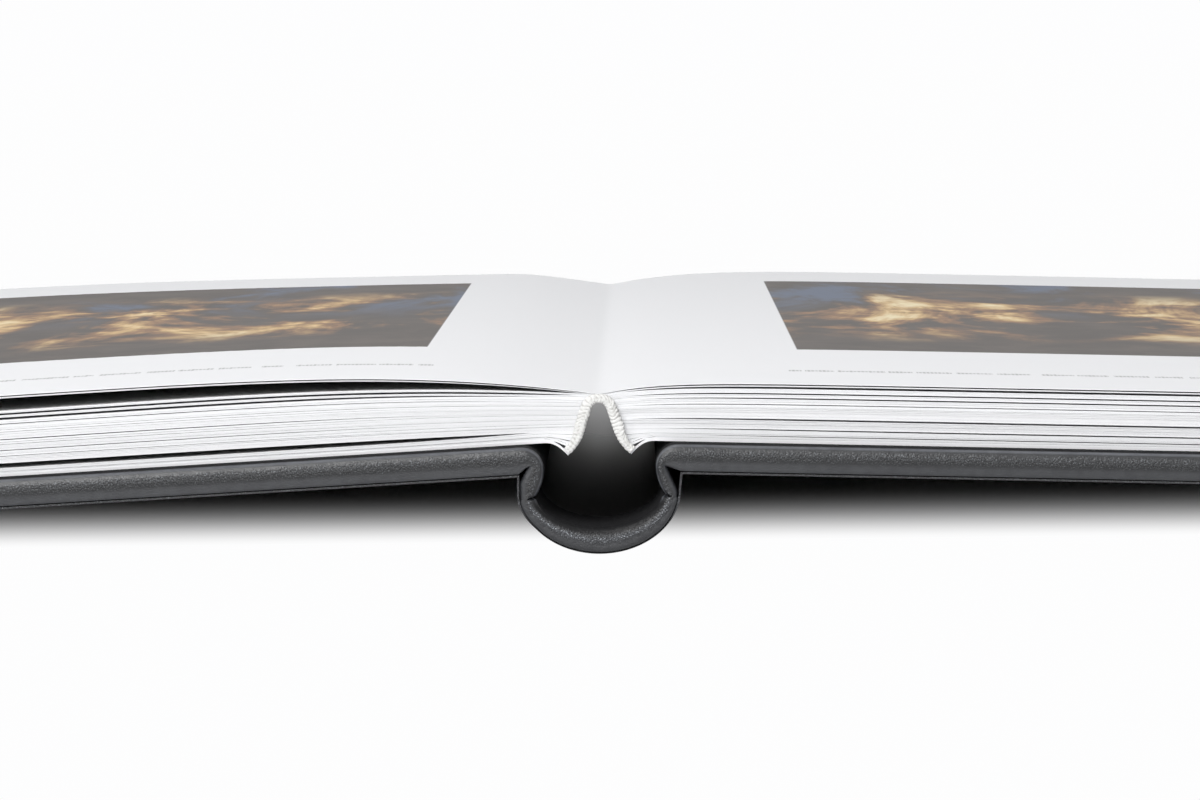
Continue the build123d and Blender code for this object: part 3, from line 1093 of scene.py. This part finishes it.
def woven_cloth():
    """Open-weave lining cloth."""
    made = Finish("open-weave lining cloth")
    at = made.place()
    waves = [(part * (2 * pi / weave_pitch)).math("SINE") for part in made.axes(at)[1:]]
    warp, weft = [wave.ramp(-0.4, 0.9) for wave in waves]
    thread = warp.math("MAXIMUM", weft)
    uneven = made.noise(at, 1.5, 3.0)
    color = made.mix(thread * 0.7 + uneven * 0.3, (0.26, 0.25, 0.23), (0.46, 0.45, 0.42))
    return made.surface(Base_Color=color, Roughness=0.85, Normal=made.bump(thread, 0.1))


def band_cloth():
    """Off-white cotton thread, a little fuzzy and uneven, darker in the hollows between stitches as
    painted shade.
    """
    made = Finish("off-white band thread")
    at = made.place()
    strand = made.noise(made.scaled(at, (1, 1, 2.5)), 0.13, 3.0, 0.6)
    patch = made.noise(at, 0.7, 3.0)
    pit = made.add("ShaderNodeAttribute", {"attribute_name": "pit"}, output="Fac")
    shade = strand.ramp(0.3, 0.7) * 0.6 + patch * 0.4
    thread_tone = made.mix(shade, (0.69, 0.688, 0.672), (0.87, 0.868, 0.852))
    # Painted shade in the hollows between the stitches
    color = made.mix(pit.ramp(0.5, 1.3) * 0.65, thread_tone, (0.42, 0.41, 0.385))
    return made.surface(Base_Color=color, Roughness=0.9, Normal=made.bump(strand, 0.06))


def finish_node(name, material):
    """Give a solid that stays as it is its finish."""
    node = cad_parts[name]
    node.data.materials.clear()
    node.data.materials.append(material)


# The studio


def camera():
    """The photograph's viewpoint: low, in front of the tail of the spine, with a long lens."""
    turn, down, roll = radians(eye_turn), radians(eye_down), radians(eye_roll)
    forward = Vector((-sin(turn) * cos(down), cos(turn) * cos(down), -sin(down)))
    level = Vector((cos(turn), sin(turn), 0))
    up = level.cross(forward)
    right = level * cos(roll) - up * sin(roll)
    over = up * cos(roll) + level * sin(roll)
    data = bpy.data.cameras.new("camera")
    data.sensor_width = sensor_width
    data.lens = lens_pixels / photo_width * sensor_width
    data.clip_start, data.clip_end = 0.01, 100.0
    eye = bpy.data.objects.new("camera", data)
    bpy.context.scene.collection.objects.link(eye)
    turned = Matrix((right, over, -forward)).transposed().to_4x4()
    eye.matrix_world = Matrix.Translation(Vector(eye_place) / 1000) @ turned
    bpy.context.scene.camera = eye


def floor():
    """A plain white floor that keeps the object's shadow, faded towards its outside by a painted
    white glow that only the camera sees.
    """
    made = Finish("white floor")
    at = made.place()
    x, y = made.axes(at)[:2]
    mottle = made.noise(at, 120.0, 2.0)
    color = made.mix(mottle, (0.95, 0.95, 0.955), (0.965, 0.965, 0.97))
    shaded = made.add("ShaderNodeBsdfDiffuse", {}, {"Color": color})
    white = made.add("ShaderNodeEmission", {}, {"Color": (0.985, 0.985, 0.988), "Strength": 1.0})
    sideways = abs(x).ramp(*shadow_sides)
    out = (abs(y) - x * shadow_lean - shadow_start) / shadow_run
    outside = (out.math("MAXIMUM", 0.0).math("MINIMUM", 1.0) ** shadow_power).ramp(0.0, 1.0)
    seen = made.add("ShaderNodeLightPath", output="Is Camera Ray")
    # Painted light: for camera rays the floor glows white, more so away from the object, fading its
    # real shadow
    lift = seen * outside.math("MAXIMUM", sideways)
    mixed = made.add("ShaderNodeMixShader", {}, {0: lift, 1: shaded, 2: white})
    reach = floor_reach
    mesh = bpy.data.meshes.new("floor")
    corners = [(-reach, -reach, 0), (reach, -reach, 0), (reach, reach, 0), (-reach, reach, 0)]
    mesh.from_pydata(corners, [], [(0, 1, 2, 3)])
    mesh.materials.append(made.done(mixed))
    plane = bpy.data.objects.new("floor", mesh)
    bpy.context.scene.collection.objects.link(plane)


def lamp(name, strength, place, wide, tall):
    """A soft box at a place in metres, turned to the middle of the book."""
    data = bpy.data.lights.new(name, "AREA")
    data.shape, data.size, data.size_y = "RECTANGLE", wide, tall
    data.energy = strength
    box = bpy.data.objects.new(name, data)
    bpy.context.scene.collection.objects.link(box)
    box.location = place
    box.rotation_mode = "QUATERNION"
    box.rotation_quaternion = Vector(place).to_track_quat("Z", "Y")


def surroundings(level):
    """White surroundings that light the object evenly and show white behind it."""
    world = bpy.data.worlds.new("studio")
    bpy.context.scene.world = world
    made = Finish("studio", world)
    rays = ["Is Camera Ray", "Is Glossy Ray", "Is Transmission Ray"]
    eye, glossy, through = [made.add("ShaderNodeLightPath", output=ray) for ray in rays]
    shown = eye.math("MAXIMUM", glossy).math("MAXIMUM", through)
    ends = {"Value": shown, "To Min": level, "To Max": 1.0}
    strength = made.add("ShaderNodeMapRange", {}, ends, "Result")
    white = {"Color": (0.985, 0.985, 0.99), "Strength": strength}
    back = made.add("ShaderNodeBackground", {}, white)
    made.done(back, "ShaderNodeOutputWorld")


bpy.context.scene.view_settings.view_transform = "Standard"
camera()
floor()
surroundings(0.3)
lamp("key", 16.9, (-0.48, -0.85, 1.12), 0.9, 0.9)
lamp("front", 5.55, (-0.3, -1.5, 0.42), 0.9, 0.8)
lamp("back", 0.8, (0.2, 1.5, 1.5), 1.2, 1.2)

page_paper = paper()
print_paper = printed_page()
gap_shade_paper = gap_shaded_faces()
grey_leather = leather()
thread = band_cloth()
endpaper = plain("white endpaper", (0.86, 0.862, 0.875), (0.82, 0.822, 0.835), 0.5, 0.7, 0.01)
card = cover_card()
lining = woven_cloth()

leaf_papers = [page_paper, gap_shade_paper]
all_right, all_left = sorted(right_gaps + right_slits), sorted(left_gaps + left_slits)
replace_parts(leaves("right_leaves", 1, all_right, False, 4, leaf_papers), "text_block")
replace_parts(leaves("left_leaves", -1, all_left, True, 7, leaf_papers), "text_block")
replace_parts(open_spread(print_paper), "text_block")
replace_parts(band("head_band", 1, thread), "headband")
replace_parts(band("tail_band", -1, thread), "tailband")

for cover_side, sign in (("left", -1), ("right", 1)):
    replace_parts(cover_pad(f"{cover_side}_cover_pad", sign), f"{cover_side}_cover_leather")
    skin = outer_skin(f"{cover_side}_outer_skin", sign)
    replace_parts(skin, f"{cover_side}_cover_leather", "spine_leather")
for end_name, sign in (("head", 1), ("tail", -1)):
    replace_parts(spine_pad(f"{end_name}_spine_pad", sign), "spine_leather")

finish_node("spine_strip", card)
finish_node("back_lining", lining)
for cover_side in ("left", "right"):
    finish_node(f"{cover_side}_board", card)
    finish_node(f"{cover_side}_pastedown", endpaper)
    finish_node(f"{cover_side}_free_endpaper", endpaper)
